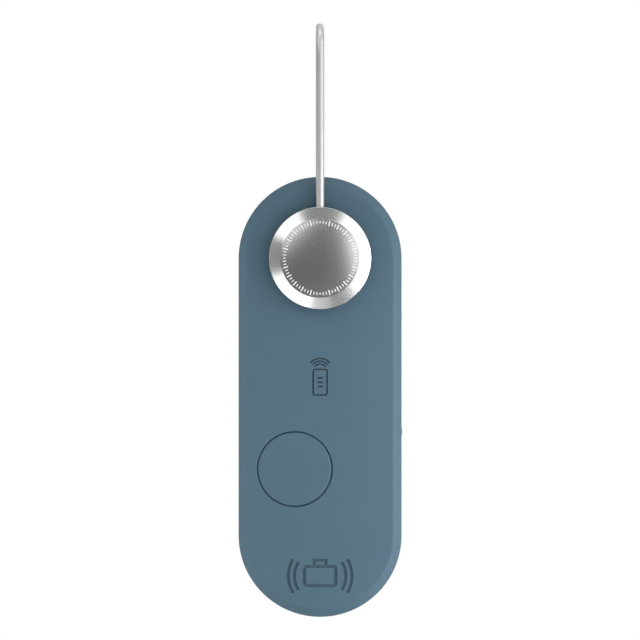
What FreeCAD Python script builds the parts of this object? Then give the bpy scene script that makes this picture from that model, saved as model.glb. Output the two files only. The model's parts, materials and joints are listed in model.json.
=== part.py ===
import FreeCAD, Part
import math
import os
import re

import Sketcher
from FreeCAD import Vector

# A finder tag for luggage: a sealed rounded housing that swings on a bent steel wire loop.
# Row frame: millimetres, +Z up, the tag's face looks along -Y, +X to the right of the face.
# The origin is where the loop hangs: the underside of the wire's top bend.
# Each sub-part is drawn about the lock barrel's centre and then lowered by pivot_drop.
# A "level" is a distance in front of the housing's middle plane, so y = -level.

DIMENSIONS = {
    # housing
    "pivot_drop": 55.7,
    "body_width": 40.0,
    "body_depth": 8.6,
    "arc_spacing": 68.0,
    "chamfer_run": 2.1,
    "chamfer_drop": 1.5,
    "soft_edge": 0.35,
    "seam_bevel": 0.15,
    "face_wall": 1.2,
    "side_wall": 2.2,
    "parting_depth": 2.4,
    "lip_thickness": 0.8,
    "lip_gap": 0.1,
    "lip_rise": 0.5,
    "seal_outer": 19.2,
    "seal_inner": 18.3,
    "seal_depth": 0.6,
    "seal_gap": 0.05,
    "part_gap": 0.02,
    "tunnel_radius": 6.75,
    # cover screws
    "boss_radius": 2.1,
    "screw_radius": 0.78,
    "screw_head_radius": 1.5,
    "screw_head_height": 0.85,
    "screw_head_sink": 1.0,
    "insert_radius": 1.2,
    "insert_length": 3.0,
    "insert_relief": 0.6,
    "screw_clearance": 0.1,
    "socket_radius": 0.85,
    "socket_depth": 0.55,
    "upper_screw_x": 12.0,
    "upper_screw_z": 8.4,
    "middle_screw_x": 14.6,
    "middle_screw_z": -36.0,
    "lower_screw_x": 9.2,
    "lower_screw_z": -79.2,
    # lock and loop
    "sleeve_radius": 5.0,
    "barrel_radius": 4.0,
    "barrel_flat": 3.5,
    "barrel_gap": 0.05,
    "washer_radius": 8.5,
    "washer_thickness": 0.5,
    "wire_diameter": 2.1,
    "wire_gap": 0.05,
    "eye_radius": 5.35,
    "eye_bend": 4.0,
    "eye_end_angle": 115.0,
    "cap_radius": 12.5,
    "cap_band": 0.7,
    "cap_bevel_run": 2.78,
    "cap_bevel_drop": 1.5,
    "cap_dome": 0.7,
    "cap_centre_flat": 0.4,
    "cap_edge": 0.12,
    "thread_radius": 2.5,
    "thread_gap": 0.05,
    "thread_reach": 6.0,
    "thread_run_out": 1.0,
    "thread_point": 0.5,
    "head_radius": 11.0,
    "head_thickness": 1.8,
    "head_bevel": 0.8,
    "coin_slot_width": 1.7,
    "coin_slot_depth": 1.0,
    "spring_washer": 0.2,
    "spring_washer_radius": 6.2,
    # push button
    "button_x": -6.22,
    "button_z": -51.7,
    "button_radius": 9.1,
    "button_hole": 9.24,
    "button_flange": 10.1,
    "button_edge": 0.6,
    "button_hole_edge": 0.4,
    "flange_gap": 0.05,
    "flange_thickness": 0.65,
    "membrane_radius": 11.3,
    "membrane_rim": 0.7,
    "membrane_sheet": 0.35,
    "membrane_nub": 1.2,
    "membrane_nub_drop": 0.2,
    "plunger_radius": 0.75,
    "plunger_length": 0.8,
    "switch_size": 3.6,
    "switch_height": 0.9,
    "switch_floor": 0.2,
    "plunger_gap": 0.1,
    # charging port and its cover
    "port_z": -51.7,
    "port_level": 0.2,
    "port_floor": 18.6,
    "port_half_width": 2.0,
    "port_top": -41.2,
    "port_bottom": -62.2,
    "port_mouth_height": 9.2,
    "port_mouth_width": 3.4,
    "cover_gap": 0.15,
    "cover_inner": 18.7,
    "cover_corner": 1.1,
    "hinge_x": 19.35,
    "hinge_z": -61.4,
    "hinge_pin_radius": 0.3,
    "hinge_pin_gap": 0.05,
    "hinge_pin_grip": 0.5,
    "plug_height": 8.0,
    "plug_width": 2.3,
    "plug_depth": 0.8,
    "nub_z": -42.6,
    "nub_height": 1.5,
    "nub_width": 2.4,
    "nub_rise": 0.12,
    "usb_height": 8.94,
    "usb_width": 3.26,
    "usb_wall": 0.3,
    "usb_length": 7.35,
    "tongue_height": 6.69,
    "tongue_thickness": 0.7,
    "tongue_recess": 1.0,
    # electronics
    "board_thickness": 0.8,
    "board_radius": 16.6,
    "board_top": -43.5,
    "board_gap": 0.2,
    "board_boss_radius": 1.6,
    "board_screw_radius": 0.6,
    "board_screw_length": 2.0,
    "board_screw_head_radius": 1.25,
    "board_screw_head_height": 0.6,
    "board_socket_radius": 0.6,
    "board_socket_depth": 0.4,
    "small_component_height": 0.45,
    "shield_width": 12.0,
    "shield_height": 9.0,
    "shield_rise": 1.4,
    "shield_wall": 0.15,
    "shield_corner": 0.6,
    "battery_width": 24.0,
    "battery_thickness": 4.6,
    "battery_top": -9.5,
    "battery_bottom": -41.5,
    "battery_pad": 0.3,
    "battery_pad_inset": 2.0,
    "battery_corner": 1.2,
    "lead_radius": 0.35,
    "lead_spread": 0.9,
    "antenna_z": -30.4,
    "antenna_width": 24.0,
    "antenna_height": 19.0,
    "antenna_sheet": 0.1,
    "antenna_trace": 0.05,
    "antenna_corner": 1.0,
    "antenna_line": 0.4,
    "tail_x": 5.3,
    "tail_width": 2.8,
    "tail_end": -46.2,
    "contact_radius": 0.4,
    "contact_spread": 0.6,
    "contact_z": -45.0,
    "ferrite_sheet": 0.2,
    "sounder_z": -71.0,
    "sounder_radius": 9.0,
    "sounder_ring": 0.7,
    "sounder_ring_height": 0.6,
    "sounder_plate": 0.15,
    "ceramic_radius": 6.5,
    "sound_hole_radius": 0.5,
    "sound_hole_circle": 2.2,
    "vent_radius": 3.6,
    "vent_thickness": 0.15,
    "sounder_contact_x": -3.0,
    # marks sunk into the face
    "mark_depth": 0.35,
    "phone_z": -30.4,
    "phone_width": 3.77,
    "phone_height": 6.64,
    "phone_corner": 0.7,
    "phone_line": 0.37,
    "screen_bar_width": 1.3,
    "screen_bar_height": 0.38,
    "screen_bar_pitch": 1.05,
    "wave_z": -27.6,
    "wave_line": 0.35,
    "wave_radius": 3.06,
    "wave_pitch": 0.7,
    "wave_half_angle": 52.0,
    "case_z": -77.9,
    "case_width": 8.4,
    "case_height": 5.4,
    "case_corner": 1.0,
    "case_line": 0.7,
    "case_handle_width": 3.6,
    "case_handle_height": 1.5,
    "signal_half_angle": 32.0,
    "signal_radius": 6.3,
    "signal_pitch": 1.5,
}

# Levels that several sub-parts share, as expressions over the sheet.
FACE = "body_depth / 2"
FACE_INSIDE = "body_depth / 2 - face_wall"
BACK = "-body_depth / 2"
BACK_INSIDE = "-body_depth / 2 + face_wall"
PARTING = "-parting_depth"
WASHER_FACE = "body_depth / 2 + washer_thickness"
LEG_LEVEL = f"{WASHER_FACE} + wire_gap + wire_diameter / 2"
CAP_SEAT = f"{WASHER_FACE} + 2 * wire_gap + wire_diameter"
HEAD_SEAT = f"-({CAP_SEAT}) - spring_washer"
CAVITY = "body_width / 2 - side_wall"
BOARD_FRONT = "board_thickness / 2"
BOARD_BACK = "-board_thickness / 2"
FLANGE_FRONT = f"{FACE_INSIDE} - flange_gap"
FLANGE_BACK = f"{FLANGE_FRONT} - flange_thickness"
MEMBRANE_FRONT = f"{FLANGE_BACK} - flange_gap"
MEMBRANE_BACK = f"{MEMBRANE_FRONT} - membrane_sheet"
NUB_BACK = f"{MEMBRANE_BACK} - membrane_nub_drop"
PLUNGER_FRONT = f"{NUB_BACK} - flange_gap"
BATTERY_BACK = f"{BACK_INSIDE} + battery_pad"
ANTENNA_BACK = f"{FACE_INSIDE} - antenna_sheet"
COIL_BACK = f"{ANTENNA_BACK} - antenna_trace"
FERRITE_BACK = f"{COIL_BACK} - ferrite_sheet"
PLATE_BACK = f"{BACK_INSIDE} + sounder_ring_height"
PLATE_FRONT = f"{PLATE_BACK} + sounder_plate"

COVER_SCREWS = [
    (f"{side} * {row}_screw_x", f"{row}_screw_z")
    for row in ("upper", "middle", "lower")
    for side in (1, -1)
]
# x and z of the screws that hold the circuit board to the front cover
BOARD_SCREWS = [("14.3", "-45.4"), ("-13.8", "-67"), ("13.4", "-64")]

doc = FreeCAD.newDocument("LuggageFinderTag")
sheet = doc.addObject("Spreadsheet::Sheet", "Dims")
for row, (alias, number) in enumerate(DIMENSIONS.items(), 1):
    sheet.set(f"A{row}", alias)
    sheet.set(f"B{row}", str(number))
    sheet.setAlias(f"B{row}", alias)
doc.recompute()

parts = []


# ---------------------------------------------------------------- drawing helpers

def on_sheet(expression):
    """An expression over cell names, with the sheet's own name put before each of them."""
    def name_cell(word):
        return f"Dims.{word.group(0)}" if word.group(0) in DIMENSIONS else word.group(0)
    return re.sub(r"[a-z_]+", name_cell, str(expression))


def value(expression):
    return float(sheet.evalExpression(on_sheet(expression)))


def fix(sketch, kind, where, expression):
    """A dimension of a sketch, bound to the sheet."""
    index = sketch.addConstraint(Sketcher.Constraint(kind, *where, value(expression)))
    sketch.renameConstraint(index, f"size_{index}")
    sketch.setExpression(f"Constraints.size_{index}", on_sheet(expression))


def fix_point(sketch, geometry, point, x, z):
    fix(sketch, "DistanceX", (-1, 1, geometry, point), x)
    fix(sketch, "DistanceY", (-1, 1, geometry, point), z)


def close_loop(sketch, kind, edges):
    for edge, following in zip(edges, edges[1:] + edges[:1]):
        sketch.addConstraint(Sketcher.Constraint(kind, edge, 2, following, 1))


def line(sketch, start, end):
    return sketch.addGeometry(Part.LineSegment(Vector(*start, 0), Vector(*end, 0)))


def arc(sketch, centre, radius, start, end):
    """A counter-clockwise arc between two angles in degrees."""
    circle_under = Part.Circle(Vector(*centre, 0), Vector(0, 0, 1), radius)
    return sketch.addGeometry(Part.ArcOfCircle(circle_under, math.radians(start), math.radians(end)))


def circle(x, z, radius):
    def draw(sketch):
        centre = Vector(value(x), value(z), 0)
        made = sketch.addGeometry(Part.Circle(centre, Vector(0, 0, 1), value(radius)))
        fix(sketch, "Radius", (made,), radius)
        fix_point(sketch, made, 3, x, z)
    return draw


def polygon(*corners):
    def draw(sketch):
        points = [(value(x), value(z)) for x, z in corners]
        sides = [line(sketch, a, b) for a, b in zip(points, points[1:] + points[:1])]
        close_loop(sketch, "Coincident", sides)
        for side, (x, z) in zip(sides, corners):
            fix_point(sketch, side, 1, x, z)
    return draw


def box(left, right, bottom, top):
    return polygon((left, bottom), (right, bottom), (right, top), (left, top))


def centred_box(x, z, width, height):
    return box(f"{x} - ({width}) / 2", f"{x} + ({width}) / 2",
               f"{z} - ({height}) / 2", f"{z} + ({height}) / 2")


def hexagon(x, z, radius):
    return polygon(*[(f"{x} + ({radius}) * cos({60 * n})", f"{z} + ({radius}) * sin({60 * n})")
                     for n in range(6)])


def stadium(radius, x="0", top="0", bottom="-arc_spacing"):
    """Two half circles, the upper centred on top and the lower on bottom, joined by straight sides."""
    def draw(sketch):
        size, middle, high, low = value(radius), value(x), value(top), value(bottom)
        edges = [
            arc(sketch, (middle, high), size, 0, 180),
            line(sketch, (middle - size, high), (middle - size, low)),
            arc(sketch, (middle, low), size, 180, 360),
            line(sketch, (middle + size, low), (middle + size, high)),
        ]
        close_loop(sketch, "Tangent", edges)
        sketch.addConstraint(Sketcher.Constraint("Equal", edges[0], edges[2]))
        fix(sketch, "Radius", (edges[0],), radius)
        fix_point(sketch, edges[0], 3, x, top)
        fix_point(sketch, edges[2], 3, x, bottom)
    return draw


def capsule(x, z, height, width):
    """An upright stadium of a given overall height and width."""
    half_span = f"(({height}) - ({width})) / 2"
    return stadium(f"({width}) / 2", x, f"{z} + {half_span}", f"{z} - {half_span}")


def rounded_box(x, z, width, height, corner):
    def draw(sketch):
        middle_x, middle_z, radius = value(x), value(z), value(corner)
        across = value(width) / 2 - radius
        upright = value(height) / 2 - radius
        corners = [(1, 1), (-1, 1), (-1, -1), (1, -1)]
        edges = []
        for turn, (side, end) in enumerate(corners):
            centre = (middle_x + side * across, middle_z + end * upright)
            edges.append(arc(sketch, centre, radius, 90 * turn, 90 * turn + 90))
            after_side, after_end = corners[(turn + 1) % 4]
            after = (middle_x + after_side * across, middle_z + after_end * upright)
            out = (radius * math.cos(math.radians(90 * turn + 90)),
                   radius * math.sin(math.radians(90 * turn + 90)))
            edges.append(line(sketch, (centre[0] + out[0], centre[1] + out[1]),
                              (after[0] + out[0], after[1] + out[1])))
        close_loop(sketch, "Tangent", edges)
        for turn, (side, end) in enumerate(corners):
            fix_point(sketch, edges[2 * turn], 3,
                      f"{x} + {side} * (({width}) / 2 - ({corner}))",
                      f"{z} + {end} * (({height}) / 2 - ({corner}))")
        for other in edges[2::2]:
            sketch.addConstraint(Sketcher.Constraint("Equal", edges[0], other))
        fix(sketch, "Radius", (edges[0],), corner)
    return draw


def arc_band(x, z, radius, width, middle, half_angle):
    """A strip of a ring, centred on the angle middle: 90 is up, 0 is right and 180 is left."""
    def draw(sketch):
        centre = (value(x), value(z))
        start, end = middle - value(half_angle), middle + value(half_angle)
        inner_radius, outer_radius = f"({radius}) - ({width}) / 2", f"({radius}) + ({width}) / 2"

        def at(size, angle):
            turn = math.radians(angle)
            return centre[0] + size * math.cos(turn), centre[1] + size * math.sin(turn)

        inner, outer = value(inner_radius), value(outer_radius)
        outside = arc(sketch, centre, outer, start, end)
        inside = arc(sketch, centre, inner, start, end)
        last = line(sketch, at(outer, end), at(inner, end))
        first = line(sketch, at(inner, start), at(outer, start))
        for one, one_end, other, other_end in ((outside, 2, last, 1), (last, 2, inside, 2),
                                               (inside, 1, first, 1), (first, 2, outside, 1)):
            sketch.addConstraint(Sketcher.Constraint("Coincident", one, one_end, other, other_end))
        sketch.addConstraint(Sketcher.Constraint("Coincident", outside, 3, inside, 3))
        fix_point(sketch, outside, 3, x, z)
        fix(sketch, "Radius", (outside,), outer_radius)
        fix(sketch, "Radius", (inside,), inner_radius)
        upright = middle == 90
        for size, curve in ((outer_radius, outside), (inner_radius, inside)):
            for point, sign in ((1, "-"), (2, "+")):
                angle = f"({middle} {sign} {half_angle})"
                if upright:
                    fix(sketch, "DistanceX", (-1, 1, curve, point), f"{x} + ({size}) * cos{angle}")
                else:
                    fix(sketch, "DistanceY", (-1, 1, curve, point), f"{z} + ({size}) * sin{angle}")
    return draw


# ---------------------------------------------------------------- feature helpers

def new_body(label):
    """A body whose own origin is the lock barrel's centre."""
    made = doc.addObject("PartDesign::Body", label)
    made.Label = label
    made.setExpression("Placement.Base.z", on_sheet("-pivot_drop"))
    parts.append(made)
    return made


def new_sketch(body, name, offset, outlines, plane="XZ_Plane"):
    """A sketch parallel to one of the body's origin planes; on XZ_Plane the offset is a level."""
    sketch = body.newObject("Sketcher::SketchObject", name)
    support = next(feature for feature in body.Origin.OriginFeatures if feature.Role == plane)
    sketch.AttachmentSupport = (support, [""])
    sketch.MapMode = "FlatFace"
    sketch.setExpression("AttachmentOffset.Base.z", on_sheet(offset))
    for draw in outlines:
        draw(sketch)
    return sketch


def add_feature(body, kind, name):
    feature = body.newObject(f"PartDesign::{kind}", f"{body.Label}_{name}")
    feature.Label = f"{body.Label}_{name}"
    return feature


def pad(body, name, start, end, *outlines, plane="XZ_Plane"):
    """Material between two levels."""
    sketch = new_sketch(body, f"{body.Label}_{name}_sketch", start, outlines, plane)
    feature = add_feature(body, "Pad", name)
    feature.Profile = sketch
    feature.setExpression("Length", on_sheet(f"({end}) - ({start})"))
    doc.recompute()
    return feature


def cut(body, name, start, end, *outlines, plane="XZ_Plane"):
    """A pocket between two levels. It has to remove something."""
    before = body.Tip.Shape.Volume
    sketch = new_sketch(body, f"{body.Label}_{name}_sketch", start, outlines, plane)
    feature = add_feature(body, "Pocket", name)
    feature.Profile = sketch
    feature.Reversed = True
    feature.setExpression("Length", on_sheet(f"({end}) - ({start})"))
    doc.recompute()
    if feature.Shape.Volume > before - 1e-6:
        raise ValueError(f"{feature.Label} removes nothing")
    return feature


def turn(body, name, profile):
    """A solid of revolution about the barrel's axis; the profile's points are radius and -level."""
    sketch = new_sketch(body, f"{body.Label}_{name}_sketch", "0", [profile], "XY_Plane")
    feature = add_feature(body, "Revolution", name)
    feature.Profile = sketch
    feature.ReferenceAxis = (sketch, ["V_Axis"])
    feature.Angle = 360.0
    doc.recompute()
    return feature


def rim_edges(body, level, smallest=0.0, axis="Y"):
    """The edges that lie flat in one plane across an axis; on Y the plane is given as a level."""
    place = -value(level) if axis == "Y" else value(level)

    def lies_there(edge):
        limits = edge.BoundBox
        low, high = getattr(limits, f"{axis}Min"), getattr(limits, f"{axis}Max")
        return abs(low - place) < 1e-4 and abs(high - place) < 1e-4 and edge.Length > smallest

    return [f"Edge{n}" for n, edge in enumerate(body.Tip.Shape.Edges, 1) if lies_there(edge)]


def round_edges(body, name, edges, radius):
    base = body.Tip
    feature = add_feature(body, "Fillet", name)
    feature.Base = (base, edges)
    feature.setExpression("Radius", on_sheet(radius))
    doc.recompute()
    return feature


def bevel_rim(body, level, side_level):
    """The wide bevel round one rim of the housing, with both of its edges softened."""
    base, rim = body.Tip, rim_edges(body, level)
    feature = add_feature(body, "Chamfer", "bevel")
    feature.Base = (base, rim)
    feature.ChamferType = "Two distances"
    feature.setExpression("Size", on_sheet("chamfer_drop"))
    feature.setExpression("Size2", on_sheet("chamfer_run"))
    doc.recompute()
    round_edges(body, "soft_edge", rim_edges(body, level) + rim_edges(body, side_level), "soft_edge")


def bevel_seam(body):
    """A fine bevel round the parting face, which makes the seam between the covers a small groove."""
    base, rim = body.Tip, rim_edges(body, PARTING)
    feature = add_feature(body, "Chamfer", "seam")
    feature.Base = (base, rim)
    feature.setExpression("Size", on_sheet("seam_bevel"))
    doc.recompute()


def plate(label, start, end, *outlines, plane="XZ_Plane"):
    """A sub-part that is one flat piece, or a group of flat pieces, between two levels."""
    made = new_body(label)
    pad(made, "plate", start, end, *outlines, plane=plane)
    return made


def circles(places, radius):
    return [circle(x, z, radius) for x, z in places]


# ---------------------------------------------------------------- housing

def face_marks():
    """A phone with three waves over it, and a suitcase between two pairs of signal arcs."""
    marks = [
        rounded_box("0", "phone_z", "phone_width", "phone_height", "phone_corner"),
        rounded_box("0", "phone_z", "phone_width - 2 * phone_line", "phone_height - 2 * phone_line",
                    "phone_corner - phone_line"),
    ]
    for ring in range(3):
        radius = f"wave_radius - {ring} * wave_pitch"
        marks.append(arc_band("0", "wave_z", radius, "wave_line", 90, "wave_half_angle"))
    marks.append(rounded_box("0", "case_z", "case_width", "case_height", "case_corner"))
    marks.append(rounded_box("0", "case_z", "case_width - 2 * case_line", "case_height - 2 * case_line",
                             "case_corner - case_line / 2"))
    for middle in (0, 180):
        for ring in range(2):
            radius = f"signal_radius + {ring} * signal_pitch"
            marks.append(arc_band("0", "case_z", radius, "case_line", middle, "signal_half_angle"))
    return marks


def screen_bars():
    """Three short bars on the phone's screen."""
    return [centred_box("0", f"phone_z + {step} * screen_bar_pitch", "screen_bar_width", "screen_bar_height")
            for step in (-1, 0, 1)]


def case_handle():
    """The suitcase's handle, drawn as a bridge that stands on the case."""
    top = "case_z + case_height / 2"
    return polygon(
        ("-case_handle_width / 2", top),
        ("-case_handle_width / 2 + case_line", top),
        ("-case_handle_width / 2 + case_line", f"{top} + case_handle_height - case_line"),
        ("case_handle_width / 2 - case_line", f"{top} + case_handle_height - case_line"),
        ("case_handle_width / 2 - case_line", top),
        ("case_handle_width / 2", top),
        ("case_handle_width / 2", f"{top} + case_handle_height"),
        ("-case_handle_width / 2", f"{top} + case_handle_height"),
    )


def front_cover():
    made = new_body("front_cover")
    pad(made, "shell", PARTING, FACE, stadium("body_width / 2"))
    bevel_rim(made, FACE, f"{FACE} - chamfer_drop")
    bevel_seam(made)
    cut(made, "cavity", PARTING, FACE_INSIDE, stadium(CAVITY))
    pad(made, "tunnel", PARTING, FACE_INSIDE, circle("0", "0", "tunnel_radius"))
    pad(made, "bosses", PARTING, FACE_INSIDE, *circles(COVER_SCREWS, "boss_radius"))
    pad(made, "board_bosses", BOARD_FRONT, FACE_INSIDE, *circles(BOARD_SCREWS, "board_boss_radius"))
    cut(made, "insert_holes", PARTING, f"{PARTING} + insert_length + insert_relief",
        *circles(COVER_SCREWS, "insert_radius + part_gap"))
    cut(made, "board_screw_holes", BOARD_FRONT, f"{BOARD_FRONT} + board_screw_length + board_gap",
        *circles(BOARD_SCREWS, "board_screw_radius + part_gap"))
    cut(made, "barrel_hole", PARTING, FACE, circle("0", "0", "sleeve_radius + part_gap"))
    cut(made, "button_hole", FACE_INSIDE, FACE, circle("button_x", "button_z", "button_hole"))
    button_rim = [name for name in rim_edges(made, FACE)
                  if abs(made.Tip.Shape.Edges[int(name[4:]) - 1].Length
                         - 2 * math.pi * value("button_hole")) < 0.01]
    round_edges(made, "button_rim", button_rim, "button_hole_edge")
    cut(made, "port_recess", "port_floor", "body_width / 2 + 1",
        rounded_box("-port_level", "(port_top + port_bottom) / 2", "2 * port_half_width",
                    "port_top - port_bottom", "cover_corner + cover_gap"), plane="YZ_Plane")
    cut(made, "hinge_recess", "port_floor", "body_width / 2 + 1",
        centred_box("-port_level", "port_bottom + port_half_width", "2 * port_half_width",
                    "2 * port_half_width"), plane="YZ_Plane")
    cut(made, "port_mouth", "body_width / 2 - side_wall - 1", "port_floor + 0.5",
        capsule("-port_level", "port_z", "port_mouth_height", "port_mouth_width"), plane="YZ_Plane")
    cut(made, "hinge_holes", "port_level - port_half_width - hinge_pin_grip",
        "port_level + port_half_width + hinge_pin_grip",
        circle("hinge_x", "hinge_z", "hinge_pin_radius + part_gap"))
    cut(made, "marks", f"{FACE} - mark_depth", FACE, *face_marks())
    cut(made, "handle_mark", f"{FACE} - mark_depth", FACE, case_handle())
    cut(made, "screen_marks", f"{FACE} - mark_depth", FACE, *screen_bars())


def rear_cover():
    made = new_body("rear_cover")
    pad(made, "shell", BACK, PARTING, stadium("body_width / 2"))
    bevel_rim(made, BACK, f"{BACK} + chamfer_drop")
    bevel_seam(made)
    cut(made, "cavity", BACK_INSIDE, PARTING, stadium(CAVITY))
    cut(made, "seal_groove", f"{PARTING} - seal_depth", PARTING,
        stadium("seal_outer"), stadium("seal_inner"))
    pad(made, "lip", BACK_INSIDE, f"{PARTING} + lip_rise",
        stadium(f"{CAVITY} - lip_gap"), stadium(f"{CAVITY} - lip_gap - lip_thickness"))
    pad(made, "screw_pads", BACK_INSIDE, PARTING, *circles(COVER_SCREWS, "boss_radius"))
    cut(made, "screw_holes", BACK, PARTING, *circles(COVER_SCREWS, "screw_radius + screw_clearance"))
    cut(made, "head_sinks", BACK, f"{BACK} + screw_head_sink",
        *circles(COVER_SCREWS, "screw_head_radius + screw_clearance"))
    cut(made, "barrel_hole", BACK, BACK_INSIDE, circle("0", "0", "sleeve_radius + part_gap"))
    holes = [("0", "sounder_z")]
    holes += [(f"sound_hole_circle * cos({60 * n})", f"sounder_z + sound_hole_circle * sin({60 * n})")
              for n in range(6)]
    cut(made, "sound_holes", BACK, BACK_INSIDE, *circles(holes, "sound_hole_radius"))


def cover_fasteners():
    """Six machine screws from behind, each into a brass insert in the front cover."""
    seat = f"{BACK} + screw_head_sink"
    screws = new_body("cover_screws")
    pad(screws, "heads", f"{seat} - screw_head_height", seat, *circles(COVER_SCREWS, "screw_head_radius"))
    pad(screws, "shanks", seat, f"{PARTING} + insert_length", *circles(COVER_SCREWS, "screw_radius"))
    cut(screws, "sockets", f"{seat} - screw_head_height", f"{seat} - screw_head_height + socket_depth",
        *[hexagon(x, z, "socket_radius") for x, z in COVER_SCREWS])
    plate("screw_inserts", PARTING, f"{PARTING} + insert_length",
          *circles(COVER_SCREWS, "insert_radius"), *circles(COVER_SCREWS, "screw_radius + part_gap"))


def seals():
    plate("cover_gasket", f"{PARTING} - seal_depth + part_gap", f"{PARTING} - part_gap",
          stadium("seal_outer - seal_gap"), stadium("seal_inner + seal_gap"))
    plate("tunnel_seal", BACK_INSIDE, PARTING,
          circle("0", "0", "tunnel_radius - 3 * seal_gap"), circle("0", "0", "sleeve_radius + 2 * seal_gap"))


# ---------------------------------------------------------------- lock and loop

def flat_sided_hole(radius, half_flat):
    """The keyed opening: a circle cut by two flats, left and right of the axis."""
    def draw(sketch):
        size, flat = value(radius), value(half_flat)
        angle = math.degrees(math.acos(flat / size))
        height = math.sqrt(size ** 2 - flat ** 2)
        edges = [
            arc(sketch, (0, 0), size, angle, 180 - angle),
            line(sketch, (-flat, height), (-flat, -height)),
            arc(sketch, (0, 0), size, 180 + angle, 360 - angle),
            line(sketch, (flat, -height), (flat, height)),
        ]
        close_loop(sketch, "Coincident", edges)
        for curve in (edges[0], edges[2]):
            sketch.addConstraint(Sketcher.Constraint("Coincident", curve, 3, -1, 1))
            fix(sketch, "Radius", (curve,), radius)
            fix(sketch, "DistanceX", (-1, 1, curve, 1), half_flat if curve == edges[0] else f"-({half_flat})")
            fix(sketch, "DistanceX", (-1, 1, curve, 2), f"-({half_flat})" if curve == edges[0] else half_flat)
    return draw


def barrel_sleeve():
    made = new_body("barrel_sleeve")
    pad(made, "tube", f"-({WASHER_FACE})", WASHER_FACE, circle("0", "0", "sleeve_radius"))
    cut(made, "keyway", f"-({WASHER_FACE})", WASHER_FACE,
        flat_sided_hole("barrel_radius + barrel_gap", "barrel_flat + barrel_gap"))


def thrust_washers():
    for label, start in (("front_washer", FACE), ("rear_washer", f"-({WASHER_FACE})")):
        plate(label, start, f"{start} + washer_thickness",
              circle("0", "0", "washer_radius"), circle("0", "0", "sleeve_radius + part_gap"))


def cap_profile(sketch):
    """Domed disc, bevel, side band, seat, barrel and blind threaded bore of the front cap.

    The dome ends in a tiny flat at its middle, as a turned face does.
    """
    edge_level = f"{CAP_SEAT} + cap_band + cap_bevel_drop"
    disc_radius = "cap_radius - cap_bevel_run"
    dome_radius = f"((({disc_radius})^2 + cap_dome^2) / (2 * cap_dome))"
    dome_centre = f"{edge_level} + cap_dome - {dome_radius}"
    flat_level = f"{dome_centre} + sqrt({dome_radius}^2 - cap_centre_flat^2)"
    bore_radius = "thread_radius + thread_gap"
    bore_end = f"{HEAD_SEAT} + thread_reach + thread_run_out"
    barrel_end = f"-({CAP_SEAT}) + part_gap"
    corners = [
        ("0", f"-({flat_level})"),
        ("cap_centre_flat", f"-({flat_level})"),
        (disc_radius, f"-({edge_level})"),
        ("cap_radius", f"-({CAP_SEAT} + cap_band)"),
        ("cap_radius", f"-({CAP_SEAT})"),
        ("barrel_radius", f"-({CAP_SEAT})"),
        ("barrel_radius", f"-({barrel_end})"),
        (bore_radius, f"-({barrel_end})"),
        (bore_radius, f"-({bore_end})"),
        ("0", f"-({bore_end})"),
    ]
    points = [(value(x), value(y)) for x, y in corners]
    start, end = (270 + math.degrees(math.asin(x / value(dome_radius))) for x, _ in points[1:3])
    flat = line(sketch, points[0], points[1])
    dome = arc(sketch, (0.0, -value(dome_centre)), value(dome_radius), start, end)
    sides = [flat, dome] + [line(sketch, a, b) for a, b in zip(points[2:], points[3:] + points[:1])]
    close_loop(sketch, "Coincident", sides)
    for side, (x, y) in zip(sides, corners):
        fix_point(sketch, side, 1, x, y)
    fix(sketch, "DistanceX", (-1, 1, dome, 3), "0")


def front_cap():
    """The steel cap and its keyed barrel, one turned piece."""
    made = new_body("front_cap")
    turn(made, "turned", cap_profile)
    for side in (1, -1):
        inner, outer = f"{side} * barrel_flat", f"{side} * (barrel_radius + 1)"
        left, right = (inner, outer) if side > 0 else (outer, inner)
        cut(made, "flat_right" if side > 0 else "flat_left", f"-({CAP_SEAT})", CAP_SEAT,
            box(left, right, "-barrel_radius", "barrel_radius"))
    sharp = rim_edges(made, f"{CAP_SEAT} + cap_band + cap_bevel_drop", 10)
    sharp += rim_edges(made, f"{CAP_SEAT} + cap_band", 10)
    round_edges(made, "broken_edges", sharp, "cap_edge")


def rear_screw():
    """The lock screw: a broad head with a coin slot, and a threaded shank that fills the barrel."""
    made = new_body("rear_screw")
    outer_face = f"{HEAD_SEAT} - head_thickness"
    tip = f"{HEAD_SEAT} + thread_reach"
    turn(made, "turned", polygon(
        ("0", f"-({outer_face})"),
        ("head_radius - head_bevel", f"-({outer_face})"),
        ("head_radius", f"-({outer_face} + head_bevel)"),
        ("head_radius", f"-({HEAD_SEAT})"),
        ("thread_radius", f"-({HEAD_SEAT})"),
        ("thread_radius", f"-({tip} - thread_point)"),
        ("thread_radius - thread_point", f"-({tip})"),
        ("0", f"-({tip})"),
    ))
    cut(made, "coin_slot", outer_face, f"{outer_face} + coin_slot_depth",
        box("-head_radius", "head_radius", "-coin_slot_width / 2", "coin_slot_width / 2"))
    plate("rear_spring_washer", f"{HEAD_SEAT} + part_gap / 2", f"{HEAD_SEAT} + spring_washer - part_gap / 2",
          circle("0", "0", "spring_washer_radius"), circle("0", "0", "thread_radius + 2 * thread_gap"))


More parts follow.
